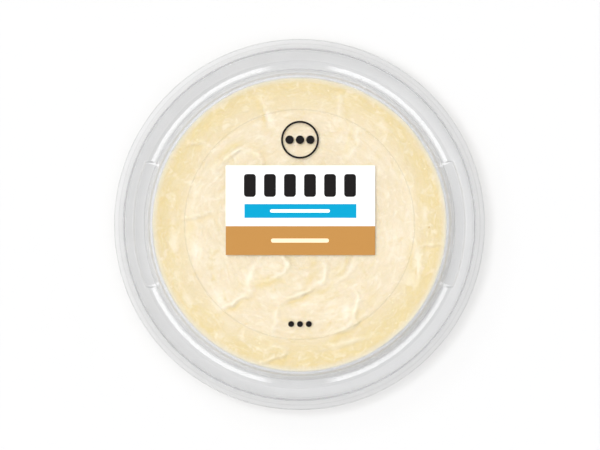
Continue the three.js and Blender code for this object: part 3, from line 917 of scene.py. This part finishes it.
def strewSurface():
    # the dip's top alone, with a weight that is higher in patches and towards the wall
    form, mesh = strewForm, dip.data
    places = np.empty(len(mesh.vertices) * 3)
    mesh.vertices.foreach_get("co", places)
    top = places.reshape(-1, 3)[firstTop:]
    faces = [tuple(v - firstTop for v in p.vertices) for p in mesh.polygons if min(p.vertices) >= firstTop]
    x, y = top[:, 0] / mm, top[:, 1] / mm
    radius = np.hypot(x, y)
    patchy = softNoise(x, y, form["cell"], seed=81) * form["swing"] + form["middle"]
    patchy = np.clip(patchy, form["least"], 1)
    outer = np.clip((radius - form["from"]) / form["over"], form["inside"], 1)
    ends = np.clip((dipForm["topRadius"] - form["edgeGap"] - radius) / form["edgeFade"], 0, 1)
    weight = (patchy * (outer * ends)).astype(np.float32)
    surface = bpy.data.meshes.new("strewSurface")
    surface.from_pydata(top.tolist(), [], faces)
    surface.update()
    surface.attributes.new("strew", "FLOAT", "POINT").data.foreach_set("value", weight)
    return surface


def makeGrains():
    tree, surface = strewnTree(), strewSurface()
    for name, key, finish in (("chickpea_grains", "pale", paleGrain), ("husk_flecks", "fleck", huskFleck)):
        piece = growPiece(name, tree, {**grainForm[key], "Finish": finish}, surface.copy())
        settle(piece)
        print(name, len(piece.data.polygons), "faces")


makeGrains()


# floor, lights and camera; each sun has its tilt, direction, spread and power
studio = {"floorSize": 12.0, "floorShade": 0.574, "mottling": 60,
          "suns": {"keySun": (14, 135, 26, 0.8), "edgeSun": (4.3, 154, 14, 2.4), "topSun": (0, 0, 20, 1.2)},
          "skyPower": 0.5, "skySeen": 0.8, "skyLevels": [(0.0, 1.0), (0.35, 0.9), (0.8, 0.65), (1.0, 0.6)],
          "softboxLow": 0.34, "softboxHigh": 0.66, "softboxEdge": 0.05,
          "softboxSide": 0.2, "sideEdge": 0.06, "softboxGlow": 3.6,
          "lens": 200, "sensor": 36, "frameWidth": 190.8, "focusHeight": 32, "shiftX": 0.16, "shiftY": -0.16}


def makeFloor():
    half, shade = studio["floorSize"] / 2 / mm, studio["floorShade"]
    material, tree, shader, place = newMaterial("floorMatt")
    cool = (shade * 0.994, shade * 0.996, shade * 1.01)
    colour = addMix(tree, addNoise(tree, place, studio["mottling"], 2, 0.5), grey(shade * 0.995), cool)
    setInputs(tree, shader, {"Base Color": colour, "Roughness": 0.9, "Specular IOR Level": 0.0})
    floor = addMesh("floor", [(-half, -half, 0), (half, -half, 0), (half, half, 0), (-half, half, 0)],
                    [(0, 1, 2, 3)], material, smooth=False)


def addSun(name, tilt, fromAngle, spread, power):
    lamp = bpy.data.lights.new(name, "SUN")
    lamp.energy = power
    lamp.angle = math.radians(spread)
    holder = bpy.data.objects.new(name, lamp)
    holder.rotation_euler = (0, math.radians(tilt), math.radians(fromAngle))
    holder.visible_glossy = False
    holder.visible_transmission = False
    scene.collection.objects.link(holder)


def makeWorld():
    # a pale room, with a long softbox low on each side that only gloss picks up
    form = studio
    world = bpy.data.worlds.new("softRoom")
    world.use_nodes = True
    scene.world = world
    tree = world.node_tree
    place = addNode(tree, "ShaderNodeTexCoord").outputs["Generated"]
    parts = addNode(tree, "ShaderNodeSeparateXYZ", {0: place}).outputs
    room = addRamp(tree, parts["Z"], [(at, grey(level)) for at, level in form["skyLevels"]])
    low, high, edge = form["softboxLow"], form["softboxHigh"], form["softboxEdge"]
    over = softStep(tree, parts["Z"], low - edge, low + edge)
    under = softStep(tree, parts["Z"], high + edge, high - edge)
    side, edge = form["softboxSide"], form["sideEdge"]
    across = addMath(tree, "DIVIDE", addMath(tree, "ABSOLUTE", parts["X"]), flatPlace(tree, place)[1])
    aside = softStep(tree, across, side - edge, side + edge)
    glow = addMath(tree, "MULTIPLY", addMath(tree, "MULTIPLY", over, under), aside)
    glow = addMath(tree, "MULTIPLY", glow, form["softboxGlow"])
    seen = addMix(tree, 1.0, addMix(tree, 1.0, room, grey(form["skySeen"]), "MULTIPLY"), glow, "ADD")
    filling = findNode(tree, "BACKGROUND")
    setInputs(tree, filling, {"Color": room, "Strength": form["skyPower"]})
    shining = addNode(tree, "ShaderNodeBackground", {"Color": seen})
    rays = addNode(tree, "ShaderNodeLightPath").outputs
    which = addMath(tree, "MAXIMUM", rays["Is Camera Ray"], rays["Is Glossy Ray"])
    both = mixShaders(tree, which, filling.outputs[0], shining.outputs[0])
    tree.links.new(both, findNode(tree, "OUTPUT_WORLD").inputs["Surface"])


def makeCamera():
    form = studio
    lens = bpy.data.cameras.new("overhead")
    lens.lens, lens.sensor_width = form["lens"], form["sensor"]
    lens.clip_start, lens.clip_end = 0.01, 50  # metres
    holder = bpy.data.objects.new("overhead", lens)
    distance = form["frameWidth"] * form["lens"] / form["sensor"]
    holder.location = (form["shiftX"] * mm, form["shiftY"] * mm, (distance + form["focusHeight"]) * mm)
    scene.collection.objects.link(holder)
    scene.camera = holder


makeFloor()
for sunName, sun in studio["suns"].items():
    addSun(sunName, *sun)
makeWorld()
makeCamera()
scene.view_settings.view_transform = "Standard"
scene.cycles.sample_clamp_direct = 5
scene.cycles.sample_clamp_indirect = 5
scene.cycles.max_bounces = 24
scene.cycles.transmission_bounces = 20
scene.cycles.transparent_max_bounces = 32
scene.cycles.glossy_bounces = 8
scene.cycles.diffuse_bounces = 4
print("floor, lights and camera made")
